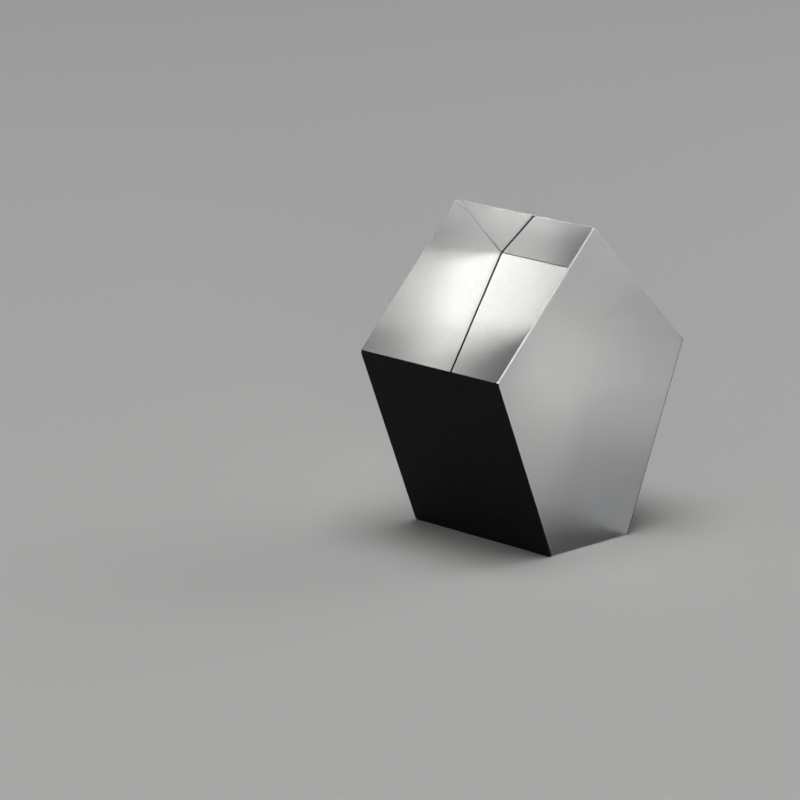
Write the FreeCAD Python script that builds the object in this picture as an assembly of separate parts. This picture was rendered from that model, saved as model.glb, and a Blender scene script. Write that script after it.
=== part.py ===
import FreeCAD, Part

import math
import os

from FreeCAD import Vector

# Penta prism: a five-sided block of crown glass that turns a beam of light by a fixed angle.
# The frame has +Z up and +Y across the section. The origin is the middle of the foot, the
# ground face that the prism stands on. The beam enters on the -X side, through the sloping
# entrance face, crosses to the right reflector, then to the left one, and leaves through the
# exit face on the +X side. Lengths are in millimetres and angles in degrees.

# Driving dimensions
aperture = 20.0  # side of the square beam that the entrance and exit faces take
prism_width = 20.0  # across the section, from one ground end face to the other
deviation = 90.0  # the angle that the beam is turned by, however the prism is tilted
end_bevel = 0.15  # leg of the bevel round each end face, measured along each of its two faces
side_bevel = 0.06  # leg of the finer bevel on the five edges that run along the width
coat_thickness = 0.05  # evaporated mirror film with the black paint baked over it

# Slopes that the beam sets. The two reflectors close on each other at half of the deviation,
# so each leans by a quarter of it, and the beam between them runs level.
polished_tilt = math.radians(90 - deviation / 2)  # entrance and exit faces, from level
reflector_lean = math.radians(deviation / 4)  # reflecting faces, from upright

# Outward normals of the seven flat faces
exit_normal = Vector(math.sin(polished_tilt), 0, math.cos(polished_tilt))
entrance_normal = Vector(-exit_normal.x, 0, exit_normal.z)
right_normal = Vector(math.cos(reflector_lean), 0, -math.sin(reflector_lean))
left_normal = Vector(-right_normal.x, 0, right_normal.z)
foot_normal = Vector(0, 0, -1)
front_normal = Vector(0, -1, 0)
rear_normal = Vector(0, 1, 0)

# Heights and half-widths of the section's corners. A reflecting face is as tall as the level
# beam that it sends across, and the foot cuts away the corner that the beam doesn't reach.
shoulder_height = aperture
roof_height = shoulder_height + aperture * math.sin(polished_tilt)
shoulder_reach = aperture * math.cos(polished_tilt)
foot_reach = shoulder_reach - aperture * math.tan(reflector_lean)


def side_faces(right_lift=0.0, left_lift=0.0):
    """The five faces along the width, in order round the section, each as its outward normal
    and its distance from the origin. A lift moves a reflecting face outwards."""
    return [
        (exit_normal, exit_normal.z * roof_height),
        (right_normal, right_normal.x * foot_reach + right_lift),
        (foot_normal, 0.0),
        (left_normal, right_normal.x * foot_reach + left_lift),
        (entrance_normal, entrance_normal.z * roof_height),
    ]


def section_corner(face, next_face):
    """Where two neighbouring side faces meet in the section."""
    (a, a_distance), (b, b_distance) = face, next_face
    spread = a.x * b.z - a.z * b.x
    x = (a_distance * b.z - b_distance * a.z) / spread
    z = (a.x * b_distance - b.x * a_distance) / spread
    return Vector(x, 0, z)


def sharp_block(faces):
    """The five-sided section drawn out across the width, with sharp edges."""
    corners = [section_corner(faces[i - 1], faces[i]) for i in range(len(faces))]
    outline = Part.Face(Part.makePolygon(corners + corners[:1]))
    outline.translate(front_normal * (prism_width / 2))
    return outline.extrude(rear_normal * prism_width)


def edges_to_bevel():
    """Every edge of the block, as the normals of its two faces, a point on it and the leg of
    its bevel."""
    faces = side_faces()
    edges = []
    for i, (normal, _) in enumerate(faces):
        corner = section_corner(faces[i - 1], faces[i])
        edges.append((faces[i - 1][0], normal, corner, side_bevel))
        for end_normal in (front_normal, rear_normal):
            end_corner = corner + end_normal * (prism_width / 2)
            edges.append((normal, end_normal, end_corner, end_bevel))
    return edges


def bevelled(block, lifted_normal=None, lift=0.0):
    """Grinds the protective bevel along every edge. A bevel slopes alike to both its faces and
    takes the same leg off each. The bevels round the face with lifted_normal are cut less
    deep, by the lift."""
    lap_radius = roof_height + prism_width
    lap_height = aperture
    for normal_a, normal_b, point, leg in edges_to_bevel():
        slope = (normal_a + normal_b).normalize()
        depth = leg * math.sqrt((1 - normal_a.dot(normal_b)) / 2)
        if lifted_normal in (normal_a, normal_b):
            depth -= lift
        lap = Part.makeCylinder(lap_radius, lap_height, point - slope * depth, slope)
        block = block.cut(lap)
    return block.Solids[0]


def glass_prism():
    """The glass: polished entrance and exit faces, two coated reflecting faces, ground ends
    and foot."""
    return bevelled(sharp_block(side_faces()))


def right_mirror_coat():
    """Mirror film and paint on the right reflecting face. The paint is carried over the four
    bevels round the face and stops at the faces next to it."""
    faces = side_faces(right_lift=coat_thickness)
    covered = bevelled(sharp_block(faces), right_normal, coat_thickness)
    return covered.cut(glass_prism()).Solids[0]


def left_mirror_coat():
    """The same coat on the left reflecting face."""
    faces = side_faces(left_lift=coat_thickness)
    covered = bevelled(sharp_block(faces), left_normal, coat_thickness)
    return covered.cut(glass_prism()).Solids[0]


nodes = {
    "glass_prism": glass_prism(),
    "right_mirror_coat": right_mirror_coat(),
    "left_mirror_coat": left_mirror_coat(),
}
os.makedirs("parts", exist_ok=True)
for name, solid in nodes.items():
    solid.exportStep(f"parts/{name}.step")
    print(f"{name}: {solid.Volume / 1000:.4f} cm3, {len(solid.Faces)} faces")
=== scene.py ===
import math

import bmesh
import bpy
import numpy as np
from mathutils import Matrix, Vector


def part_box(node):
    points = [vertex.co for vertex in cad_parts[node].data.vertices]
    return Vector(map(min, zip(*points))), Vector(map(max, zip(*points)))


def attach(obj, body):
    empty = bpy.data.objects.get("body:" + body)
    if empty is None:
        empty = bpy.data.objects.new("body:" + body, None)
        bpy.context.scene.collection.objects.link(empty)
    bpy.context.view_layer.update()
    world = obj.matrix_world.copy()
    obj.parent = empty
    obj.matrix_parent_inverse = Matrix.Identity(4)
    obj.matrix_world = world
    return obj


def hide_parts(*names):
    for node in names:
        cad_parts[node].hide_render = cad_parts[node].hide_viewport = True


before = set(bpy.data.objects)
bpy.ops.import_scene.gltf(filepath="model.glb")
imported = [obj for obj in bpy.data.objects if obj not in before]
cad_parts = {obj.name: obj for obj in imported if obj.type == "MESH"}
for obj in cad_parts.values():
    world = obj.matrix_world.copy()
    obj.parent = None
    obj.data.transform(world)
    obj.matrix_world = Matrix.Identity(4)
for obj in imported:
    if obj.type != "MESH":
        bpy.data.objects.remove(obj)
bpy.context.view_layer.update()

# Glass body. One block of crown glass with five sides and two ends, sawn, ground on flat laps and
# bevelled by hand. The two upper sides are polished clear, the ends and the bevels stay ground,
# and the ground foot carries a dark grey painted shade for the shade below it. It also carries
# what shows through its two mirrored sides.

prism_low, prism_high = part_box("glass_prism")
prism_width = prism_high.y - prism_low.y
aperture = prism_width  # the beam that the prism takes is as wide as the prism
end_bevel = 0.00015  # leg of the bevel round each end, along each of its two faces
side_bevel = 0.00006  # leg of the finer bevel along the five long edges
HAND_LEGS = {  # edges that the hand left broader or finer than the rest
    frozenset(("entrance", "exit")): 0.00015,
    frozenset(("exit", "right")): 0.00003,
    frozenset(("exit", "rear")): 0.0001,
    frozenset(("entrance", "front")): 0.00011,
}
bevel_step = 0.00008  # between the points along a bevel, fine enough for its chips
HAND_WAVES = ((0.0090, 0.03), (0.0037, 0.02), (0.0013, 0.01))  # length, share of the leg
chip_spacing = 0.0016  # an edge has one small chip for each such stretch
chip_half_widths = (0.00005, 0.00013)
stray_fade = 0.0004  # how near to a corner the waves and chips die out
corner_blunting = (0.00002, 0.0001)  # least and most that a corner loses
blunt_reach = 0.00035  # how far from a corner its bevels widen
edge_seed, corner_seed = 5, 1256  # the second leaves the front corner low on the left bluntest
film_margin = 0.00001  # the mirror film stops this short of the bevels, and paint covers the rest

polished_tilt = math.radians(45)
reflector_lean = math.radians(22.5)
roof_height = aperture * (1 + math.sin(polished_tilt))
foot_reach = aperture * (math.cos(polished_tilt) - math.tan(reflector_lean))

SIDES = ("exit", "right", "foot", "left", "entrance")
ENDS = ("front", "rear")
MIRRORED = ("right", "left")
POLISHED, GROUND, BEVEL, FILM, PAINT, FOOT = range(6)
FLAT_FINISH = {
    "exit": POLISHED,
    "entrance": POLISHED,
    # the foot's finish is painted shade, a dark grey standing in for the shade below it
    "foot": FOOT,
    "front": GROUND,
    "rear": GROUND,
}


def flat_faces():
    """The seven flat faces. Each is a plane in one row: its outward normal, then its distance
    from the origin."""
    roof = roof_height * math.cos(polished_tilt)
    hip = foot_reach * math.cos(reflector_lean)
    return {
        "exit": np.array([math.sin(polished_tilt), 0, math.cos(polished_tilt), roof]),
        "entrance": np.array([-math.sin(polished_tilt), 0, math.cos(polished_tilt), roof]),
        "right": np.array([math.cos(reflector_lean), 0, -math.sin(reflector_lean), hip]),
        "left": np.array([-math.cos(reflector_lean), 0, -math.sin(reflector_lean), hip]),
        "foot": np.array([0, 0, -1, 0.0]),
        "front": np.array([0, -1, 0, prism_width / 2]),
        "rear": np.array([0, 1, 0, prism_width / 2]),
    }


def edge_corners():
    """The fifteen edges, each named by its two faces, with the two corners that it runs between.
    Corner (i, end) is where side i - 1, side i and that end meet."""
    edges = {}
    for i, side in enumerate(SIDES):
        edges[frozenset((SIDES[i - 1], side))] = ((i, "front"), (i, "rear"))
        for end in ENDS:
            edges[frozenset((side, end))] = ((i, end), ((i + 1) % 5, end))
    return edges


def bevel_leg(edge):
    """How much the bevel on an edge takes off each of its two faces."""
    usual = end_bevel if any(end in edge for end in ENDS) else side_bevel
    return HAND_LEGS.get(edge, usual)


def bevel_plane(a, b, leg):
    """The plane that takes a leg off faces a and b. Its normal is halfway between theirs, and it
    lies below their edge by the leg times the sine of half the turn."""
    total = a[:3] + b[:3]
    length = np.linalg.norm(total)
    depth = leg * math.sqrt((1 - a[:3] @ b[:3]) / 2)
    return np.array([*(total / length), (a[3] + b[3]) / length - depth])


def crossings(triples):
    """The points where three planes meet: normals times point equals distances, solved for
    the whole array of triples at once."""
    triples = np.array(triples)
    return np.linalg.solve(triples[..., :3], triples[..., 3:])[..., 0]


def stray_legs(leg, length, draw):
    """How far the two legs of a hand-ground bevel stray from their own width along an edge of
    that length: three cosine waves, plus chips, each a bell curve with its own place, width and
    depth. One row for each leg, one column for each point between the edge's ends, where the
    stray fades out."""
    along = np.linspace(0, length, int(length / bevel_step) + 1)[1:-1]
    stray = np.zeros((2, len(along)))
    for wave, share in HAND_WAVES:
        turns = along / wave + draw.random((2, 1))
        stray += share * leg * np.cos(2 * np.pi * turns)
    chips = int(length / chip_spacing)
    place = draw.uniform(0, length, (chips, 1))
    half_width = draw.uniform(*chip_half_widths, (chips, 1))
    depth = leg * draw.uniform(0.1, 0.4, (2, chips)) ** 2
    stray += depth @ np.exp(-(((along - place) / half_width) ** 2))
    return stray * np.minimum(1, np.minimum(along, length - along) / stray_fade)


def glass_body():
    """The bevelled block. At a corner each flat face has a point of its own, where its plane
    meets those of its two bevels, and the three bevels meet in a tip. Along an edge each of its
    two faces has a run of points, and the bevel is the strip between the runs. Corners are
    blunted: a face's point there is moved inwards to where its two edges would cross if both lay
    further in, and the runs come back to their own line as the square of the share of the reach
    that is left. A mirrored face is a film inside a narrow frame of paint. Besides the mesh, it
    gives the face that each polygon counts with, and for each vertex the planes it lies on."""
    draw = np.random.default_rng(edge_seed)
    corner_draw = np.random.default_rng(corner_seed)
    plane = flat_faces()
    edges = edge_corners()
    inward = {}
    for edge in edges:
        a, b = sorted(edge)
        plane[edge] = bevel_plane(plane[a], plane[b], bevel_leg(edge))
        for own, far in ((a, b), (b, a)):
            own_normal, far_normal = plane[own][:3], plane[far][:3]
            across = (own_normal @ far_normal) * own_normal - far_normal
            inward[own, edge] = across / np.linalg.norm(across)

    groups, spot, push, blunt = [], {}, [], {}
    for i, side in enumerate(SIDES):
        for end in ENDS:
            trio = (SIDES[i - 1], side, end)
            bevels = [frozenset(trio) - {face} for face in trio]
            blunt[i, end] = corner_draw.uniform(*corner_blunting)
            for face in trio:
                spot[face, (i, end)] = len(groups)
                own_bevels = [bevel for bevel in bevels if face in bevel]
                groups.append([face] + own_bevels)
                one, two = (inward[face, bevel] for bevel in own_bevels)
                push.append((one + two) / (1 + one @ two))
            spot["tip", (i, end)] = len(groups)
            groups.append(bevels)
            push.append(sum(push[-3:]) / 4)
    push = np.array(push)
    points = crossings([[plane[name] for name in names] for names in groups])
    points += push * np.repeat(list(blunt.values()), 4)[:, None]
    member = [np.arange(len(groups))]

    runs, blocks, pushes, count = {}, [points], [push], len(points)
    for edge, (start, stop) in edges.items():
        pair = sorted(edge)
        length = np.linalg.norm(points[spot[pair[0], stop]] - points[spot[pair[0], start]])
        for face, stray in zip(pair, stray_legs(bevel_leg(edge), length, draw)):
            a, b = points[spot[face, start]], points[spot[face, stop]]
            t = np.linspace(0, 1, len(stray) + 2)[1:-1]
            left = np.clip(1 - np.minimum(t, 1 - t) * length / blunt_reach, 0, 1)
            line = (1 - t) * blunt[start] + t * blunt[stop]
            shift = stray - line * (1 - left**2)
            blocks.append(a + (b - a) * t[:, None] + inward[face, edge] * shift[:, None])
            pushes.append(np.tile(inward[face, edge], (len(stray), 1)))
            runs[face, edge] = np.arange(count, count + len(stray))
            count += len(stray)
            member.append(np.full(len(stray), len(groups)))
            groups.append([face, edge])

    def stretch(face, start, stop):
        """A face's vertices along one of its edges, with the first corner and not the last."""
        edge = next(e for e in edges if face in e and {*edges[e]} == {start, stop})
        run = runs[face, edge] if edges[edge][0] == start else runs[face, edge][::-1]
        return [spot[face, start], *run]

    faces, kinds, owners = [], [], []

    def polygon(vertices, kind, owner):
        faces.append([int(v) for v in vertices])
        kinds.append(kind)
        owners.append(owner)

    outlines = {end: [(i, end) for i in range(5)] for end in ENDS}
    for i, side in enumerate(SIDES):
        j = (i + 1) % 5
        outlines[side] = [(i, "front"), (j, "front"), (j, "rear"), (i, "rear")]
    for face, corners in outlines.items():
        pieces = [stretch(face, a, b) for a, b in zip(corners, corners[1:] + corners[:1])]
        if face not in MIRRORED:
            polygon(sum(pieces, []), FLAT_FINISH[face], face)
            continue
        rim = sum(pieces, [])
        blocks.append(np.vstack(blocks)[rim] + film_margin * np.vstack(pushes)[rim])
        pushes.append(np.zeros((len(rim), 3)))
        film = list(range(count, count + len(rim)))
        count += len(rim)
        member.append(np.full(len(rim), len(groups)))
        groups.append([face])
        polygon(film, FILM, face)
        for k in range(len(rim)):
            polygon([rim[k - 1], rim[k], film[k], film[k - 1]], PAINT, face)

    for edge, (start, stop) in edges.items():
        a, b = ([spot[f, start], *runs[f, edge], spot[f, stop]] for f in sorted(edge))
        strip = [[*pair, b[k + 1], a[k + 1]] for k, pair in enumerate(zip(a[:-1], b[:-1]))]
        strip[0].insert(1, spot["tip", start])
        strip[-1].insert(3, spot["tip", stop])
        owner = next((face for face in MIRRORED if face in edge), "bare")
        bare = GROUND if "rear" in edge else BEVEL  # the rear end's were ground finer
        for quad in strip:
            polygon(quad, bare if owner == "bare" else PAINT, owner)

    normals = [np.array([plane[name][:3] for name in names]) for names in groups]
    return {
        "points": np.vstack(blocks),
        "faces": faces,
        "kinds": kinds,
        "owners": owners,
        "member": np.concatenate(member),
        "groups": groups,
        "normals": normals,
    }


def closed_mesh(name, points, faces, kinds, materials):
    """A closed mesh from points and flat polygons, turned to face outwards. kinds gives each
    polygon's material."""
    mesh = bpy.data.meshes.new(name)
    mesh.from_pydata(points.tolist(), [], faces)
    mesh.polygons.foreach_set("material_index", kinds)
    work = bmesh.new()
    work.from_mesh(mesh)
    bmesh.ops.recalc_face_normals(work, faces=work.faces)
    work.to_mesh(mesh)
    work.free()
    for material in materials:
        mesh.materials.append(material)
    piece = bpy.data.objects.new(name, mesh)
    bpy.context.scene.collection.objects.link(piece)
    return piece


def linear(hex_colour):
    """An sRGB colour such as "f0f0ee" as linear red, green, blue and an alpha of 1."""
    srgb = np.array([int(hex_colour[i : i + 2], 16) for i in (0, 2, 4)]) / 255
    light = np.where(srgb <= 0.04045, srgb / 12.92, ((srgb + 0.055) / 1.055) ** 2.4)
    return (*light, 1.0)


def add_node(tree, kind, settings=None, **links):
    """Adds one node of that kind. settings gives its sockets' values by name, and links gives
    the sockets that feed it, with spaces in a name written as underscores."""
    node = tree.nodes.new(kind)
    for socket, value in (settings or {}).items():
        node.inputs[socket].default_value = value
    for socket, source in links.items():
        tree.links.new(source, node.inputs[socket.replace("_", " ")])
    return node


def new_material(name, settings):
    """A material with one Principled shader, and its node tree and shader."""
    material = bpy.data.materials.new(name)
    material.use_nodes = True
    tree = material.node_tree
    shader = tree.nodes["Principled BSDF"]
    for socket, value in settings.items():
        shader.inputs[socket].default_value = value
    return material, tree, shader


# Pitch-polished crown glass. It is clear and sharp, with a faint haze left by wiping: broad soft
# patches a few millimetres wide, where the roughness rises from none to hardly any.
crown_index = 1.517
wipe_length, wipe_width = 0.00625, 0.002
polished_glass, tree, shader = new_material(
    "pitch-polished crown glass",
    {"Base Color": linear("ffffff"), "Transmission Weight": 1.0, "IOR": crown_index},
)
place = add_node(tree, "ShaderNodeTexCoord").outputs["Object"]
wiping = add_node(
    tree,
    "ShaderNodeMapping",
    {
        "Rotation": (0.0, 0.6, 0.3),
        "Scale": (1 / wipe_length, 1 / wipe_length, 1 / wipe_width),
    },
    Vector=place,
)
haze = add_node(
    tree, "ShaderNodeTexNoise", {"Scale": 1.0, "Detail": 3.0}, Vector=wiping.outputs["Vector"]
)
haze_depth = add_node(
    tree,
    "ShaderNodeMapRange",
    {"From Min": 0.3, "From Max": 0.75, "To Min": 0.0, "To Max": 0.01},
    Value=haze.outputs["Fac"],
)
tree.links.new(haze_depth.outputs["Result"], shader.inputs["Roughness"])

# Fine-ground crown glass, lapped with loose grit. The eye sees an even frost with a faint mottle
# about half a millimetre across and a trace of the lap's sweep. The grit's own pits, about
# 0.02 mm, are too fine to show and are drawn at 0.12 mm.
mottle_size, mottle_depth = 0.00045, 0.000008
grit_size, grit_depth = 0.00012, 0.000002
sweep_length, sweep_width, sweep_depth = 0.005, 0.00022, 0.0000025
ground_glass, tree, shader = new_material(
    "fine-ground crown glass",
    {"Base Color": linear("ffffff"), "Transmission Weight": 1.0, "IOR": crown_index},
)
place = add_node(tree, "ShaderNodeTexCoord").outputs["Object"]
mottle = add_node(
    tree, "ShaderNodeTexNoise", {"Scale": 1 / mottle_size, "Detail": 2.0}, Vector=place
)
frost = add_node(
    tree,
    "ShaderNodeMapRange",
    {"From Min": 0.25, "From Max": 0.75, "To Min": 0.455, "To Max": 0.545},
    Value=mottle.outputs["Fac"],
)
tree.links.new(frost.outputs["Result"], shader.inputs["Roughness"])
swept = add_node(
    tree,
    "ShaderNodeMapping",
    {
        "Rotation": (0.0, math.radians(28), 0.0),
        "Scale": (1 / sweep_length, 1 / sweep_length, 1 / sweep_width),
    },
    Vector=place,
)
sweep = add_node(
    tree, "ShaderNodeTexNoise", {"Scale": 1.0, "Detail": 2.0}, Vector=swept.outputs["Vector"]
)
grit = add_node(tree, "ShaderNodeTexNoise", {"Scale": 1 / grit_size, "Detail": 1.0}, Vector=place)
sweep_relief = add_node(
    tree,
    "ShaderNodeBump",
    {"Strength": 1.0, "Distance": sweep_depth},
    Height=sweep.outputs["Fac"],
)
mottle_relief = add_node(
    tree,
    "ShaderNodeBump",
    {"Strength": 1.0, "Distance": mottle_depth},
    Height=mottle.outputs["Fac"],
    Normal=sweep_relief.outputs["Normal"],
)
grit_relief = add_node(
    tree,
    "ShaderNodeBump",
    {"Strength": 1.0, "Distance": grit_depth},
    Height=grit.outputs["Fac"],
    Normal=mottle_relief.outputs["Normal"],
)
tree.links.new(grit_relief.outputs["Normal"], shader.inputs["Normal"])

# Hand-ground bevels, bare ones round the front end and along the roof. They are frosted like the
# ends but whiter, because fine cracks under the surface scatter half of the light, and the pits
# of the coarser grit, 0.06 mm across, catch it unevenly.
pit_size, pit_depth = 0.00006, 0.000003
bevel_glass, tree, shader = new_material(
    "hand-ground bevel on crown glass",
    {"Base Color": linear("fafafa"), "Transmission Weight": 0.5, "IOR": crown_index},
)
place = add_node(tree, "ShaderNodeTexCoord").outputs["Object"]
pits = add_node(tree, "ShaderNodeTexVoronoi", {"Scale": 1 / pit_size}, Vector=place)
pit_frost = add_node(
    tree,
    "ShaderNodeMapRange",
    {"From Min": 0.0, "From Max": 0.8, "To Min": 0.42, "To Max": 0.56},
    Value=pits.outputs["Distance"],
)
tree.links.new(pit_frost.outputs["Result"], shader.inputs["Roughness"])
pit_relief = add_node(
    tree,
    "ShaderNodeBump",
    {"Strength": 1.0, "Distance": pit_depth},
    Height=pits.outputs["Distance"],
)
tree.links.new(pit_relief.outputs["Normal"], shader.inputs["Normal"])

# Aluminium, evaporated in a vacuum. Seen through the glass it is a sharp bright mirror, with
# thinner patches a few millimetres wide that are hardly darker.
patch_size = 0.004
mirror_film, tree, shader = new_material(
    "evaporated aluminium", {"Metallic": 1.0, "Roughness": 0.0}
)
place = add_node(tree, "ShaderNodeTexCoord").outputs["Object"]
patches = add_node(tree, "ShaderNodeTexNoise", {"Scale": 1 / patch_size}, Vector=place)
film_tint = add_node(
    tree,
    "ShaderNodeMixRGB",
    {"Color1": linear("f2f3f4"), "Color2": linear("eceded")},
    Fac=patches.outputs["Fac"],
)
tree.links.new(film_tint.outputs["Color"], shader.inputs["Base Color"])

# Black optical paint, brushed on and baked. It is matt and close to black all over, with fine
# brush marks along the width and a slight stipple.
brush_length, brush_width, brush_depth = 0.006, 0.0002, 0.000012
stipple_size, stipple_depth = 0.00025, 0.000008
black_paint, tree, shader = new_material("baked black optical paint", {"Specular IOR Level": 0.08})
place = add_node(tree, "ShaderNodeTexCoord").outputs["Object"]
brushed = add_node(
    tree,
    "ShaderNodeMapping",
    {"Scale": (1 / brush_width, 1 / brush_length, 1 / brush_width)},
    Vector=place,
)
strokes = add_node(
    tree, "ShaderNodeTexNoise", {"Scale": 1.0, "Detail": 3.0}, Vector=brushed.outputs["Vector"]
)
stipple = add_node(
    tree, "ShaderNodeTexNoise", {"Scale": 1 / stipple_size, "Detail": 2.0}, Vector=place
)
paint_tint = add_node(
    tree,
    "ShaderNodeMixRGB",
    {"Color1": linear("050506"), "Color2": linear("101011")},
    Fac=strokes.outputs["Fac"],
)
tree.links.new(paint_tint.outputs["Color"], shader.inputs["Base Color"])
paint_sheen = add_node(
    tree,
    "ShaderNodeMapRange",
    {"From Min": 0.3, "From Max": 0.7, "To Min": 0.52, "To Max": 0.68},
    Value=stipple.outputs["Fac"],
)
tree.links.new(paint_sheen.outputs["Result"], shader.inputs["Roughness"])
stroke_relief = add_node(
    tree,
    "ShaderNodeBump",
    {"Strength": 1.0, "Distance": brush_depth},
    Height=strokes.outputs["Fac"],
)
stipple_relief = add_node(
    tree,
    "ShaderNodeBump",
    {"Strength": 1.0, "Distance": stipple_depth},
    Height=stipple.outputs["Fac"],
    Normal=stroke_relief.outputs["Normal"],
)
tree.links.new(stipple_relief.outputs["Normal"], shader.inputs["Normal"])

# Painted shade on the ground foot. The foot is fine-ground like the ends. This even dark grey with
# a faint mottle is painted on it to stand in for the shade below the foot, and it darkens the
# bottom of the front end seen through the glass.
shaded_foot_paint, tree, shader = new_material(
    "fine-ground foot with painted shade", {"Specular IOR Level": 0.08, "Roughness": 0.6}
)
place = add_node(tree, "ShaderNodeTexCoord").outputs["Object"]
foot_shade_mottle = add_node(
    tree, "ShaderNodeTexNoise", {"Scale": 1 / mottle_size, "Detail": 2.0}, Vector=place
)
foot_shade_tint = add_node(
    tree,
    "ShaderNodeMixRGB",
    {"Color1": linear("3a3a3b"), "Color2": linear("464647")},
    Fac=foot_shade_mottle.outputs["Fac"],
)
tree.links.new(foot_shade_tint.outputs["Color"], shader.inputs["Base Color"])

prism_materials = [
    polished_glass,
    ground_glass,
    bevel_glass,
    mirror_film,
    black_paint,
    # painted shade on the foot
    shaded_foot_paint,
]

body = glass_body()
prism_glass = closed_mesh(
    "prism_glass", body["points"], body["faces"], body["kinds"], prism_materials
)
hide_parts("glass_prism")
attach(prism_glass, "root")

# Mirror coats. Aluminium is evaporated on each mirrored side, and black paint is baked over it.
# The paint is carried over the four bevels round the side and stops at the faces next to it.

coat_thickness = 0.00005
contact_gap = 0.0000005  # keeps the coat's inner skin off the glass


def coat_shell(side):
    """The film and the paint that the glass carries on one side, as a closed shell. Each vertex
    is lifted so that the covered planes through it move out by the same amount and the others
    stay: the shortest shift whose product with the normals gives those amounts. The inner skin is
    lifted by the gap, the outer one by the thickness, and strips join them along the rim."""
    covered = {side} | {edge for edge in edge_corners() if side in edge}
    rise = [
        np.linalg.pinv(normals) @ np.array([name in covered for name in names], float)
        for normals, names in zip(body["normals"], body["groups"])
    ]
    rise = np.array(rise)[body["member"]]
    chosen = [k for k, owner in enumerate(body["owners"]) if owner == side]
    sheet = [np.array(body["faces"][k]) for k in chosen]
    used = np.unique(np.concatenate(sheet))
    renumber = np.zeros(len(rise), int)
    renumber[used] = np.arange(len(used))
    sheet = [renumber[face] for face in sheet]

    steps = np.concatenate([np.stack([face, np.roll(face, -1)], 1) for face in sheet])
    _, first, uses = np.unique(np.sort(steps, 1), axis=0, return_index=True, return_counts=True)
    rim = steps[first[uses == 1]]
    outer = len(used)
    faces = [face.tolist() for face in sheet]
    faces += [(face + outer).tolist() for face in sheet]
    faces += [[a, b, b + outer, a + outer] for a, b in rim.tolist()]
    film = [body["kinds"][k] == FILM for k in chosen]
    kinds = [int(f) for f in film] + [0] * (len(faces) - len(film))
    skins = [body["points"][used] + lift * rise[used] for lift in (contact_gap, coat_thickness)]
    return np.vstack(skins), faces, kinds


for side in MIRRORED:
    coat = closed_mesh(f"{side}_coat", *coat_shell(side), [black_paint, mirror_film])
    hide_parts(f"{side}_mirror_coat")
    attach(coat, "root")

# Floor. A wide plain pale card that the prism stands on. Only the peaks of the foot's grit touch
# it, so it lies a hair below the foot and no two faces share a plane.

floor_half = 1.5
air_below_foot = 0.00001
floor_mesh = bpy.data.meshes.new("floor")
floor_corners = floor_half * np.array([(-1, -1, 0), (1, -1, 0), (1, 1, 0), (-1, 1, 0)])
floor_corners[:, 2] = -air_below_foot
floor_mesh.from_pydata(floor_corners.tolist(), [], [(0, 1, 2, 3)])
floor = bpy.data.objects.new("floor", floor_mesh)
bpy.context.scene.collection.objects.link(floor)
floor_card, tree, shader = new_material(
    "pale matt card", {"Base Color": linear("bebebc"), "Roughness": 0.9}
)
floor_mesh.materials.append(floor_card)

# Light. A box overhead lights the floor. Two low strips on the left and a smaller box higher on
# the right give the prism its bright and dark parts. A weak fill stands behind, and the surround
# is dim.

world = bpy.data.worlds.new("studio")
bpy.context.scene.world = world
world.use_nodes = True
world.node_tree.nodes["Background"].inputs["Color"].default_value = linear("ffffff")
world.node_tree.nodes["Background"].inputs["Strength"].default_value = 0.02

prism_middle = Vector((0, 0, 0.85 * aperture))


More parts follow.
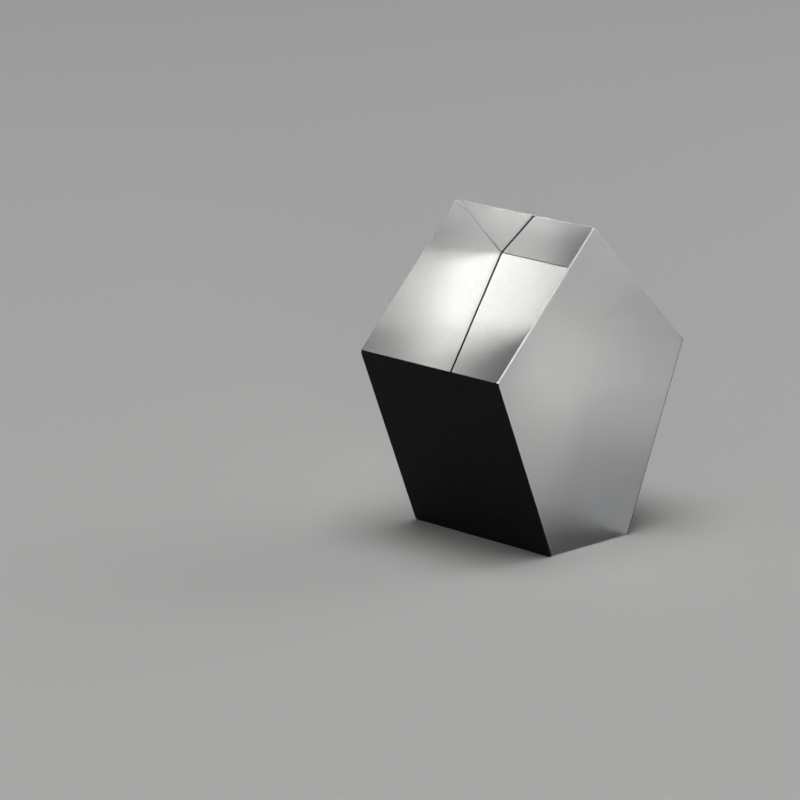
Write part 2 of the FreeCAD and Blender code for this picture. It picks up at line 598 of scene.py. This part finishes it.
def soft_box(name, azimuth, elevation, distance, width, height, radiance, colour="ffffff"):
    """An area lamp in that direction from the prism, in degrees, at that distance, and facing
    it. Its power is its radiance times pi times its area."""
    data = bpy.data.lights.new(name, "AREA")
    data.shape = "RECTANGLE"
    data.size = width
    data.size_y = height
    data.energy = radiance * math.pi * width * height
    data.color = linear(colour)[:3]
    lamp = bpy.data.objects.new(name, data)
    turn, rise = math.radians(azimuth), math.radians(elevation)
    away = Vector(
        (math.cos(turn) * math.cos(rise), math.sin(turn) * math.cos(rise), math.sin(rise))
    )
    lamp.location = prism_middle + away * distance
    lamp.rotation_euler = (-away).to_track_quat("-Z", "Y").to_euler()
    bpy.context.scene.collection.objects.link(lamp)


soft_box("overhead box", 215, 84, 1.6, 1.1, 1.1, 4.7, "fdfeff")
soft_box("near left strip", 226.5, 5.2, 0.9, 0.37, 0.165, 16.8, "fffcf6")
soft_box("far left strip", 196, 2.6, 0.9, 0.35, 0.082, 17.5, "fffcf6")
soft_box("right box", 344, 33, 0.8, 0.46, 0.23, 2.4)
soft_box("rear fill", 135, 23, 0.8, 0.49, 0.5, 0.27, "f9fbff")

# Camera. It looks at the front end and the entrance side from the left, slightly from above, with
# a long lens. Its place is given by where the prism's middle lies in its own axes.

focal_pixels, image_pixels = 4267.5, 800
camera_azimuth, camera_elevation, camera_roll = -44.60, 14.56, -0.17  # degrees
middle_in_view = Vector((0.644, 0.149, -22.440)) * aperture

camera_data = bpy.data.cameras.new("camera")
camera_data.sensor_width = 36
camera_data.lens = 36 * focal_pixels / image_pixels
camera_data.clip_start = 0.01
camera_data.clip_end = 10
camera = bpy.data.objects.new("camera", camera_data)
azimuth, elevation = math.radians(camera_azimuth), math.radians(camera_elevation)
back = Vector(
    (
        math.sin(azimuth) * math.cos(elevation),
        -math.cos(azimuth) * math.cos(elevation),
        math.sin(elevation),
    )
)
right = Vector((math.cos(azimuth), math.sin(azimuth), 0))
up = back.cross(right)
level = Matrix((right, up, back)).transposed()
axes = level @ Matrix.Rotation(-math.radians(camera_roll), 3, "Z")
camera.matrix_world = Matrix.Translation(prism_middle - axes @ middle_in_view) @ axes.to_4x4()
bpy.context.scene.collection.objects.link(camera)
bpy.context.scene.camera = camera

# View. Colours show as written, and light may cross the glass many times.

bpy.context.scene.view_settings.view_transform = "Standard"
bpy.context.scene.cycles.max_bounces = 24
bpy.context.scene.cycles.glossy_bounces = 16
bpy.context.scene.cycles.transmission_bounces = 24
bpy.context.scene.cycles.sample_clamp_indirect = 0
bpy.context.scene.cycles.blur_glossy = 0
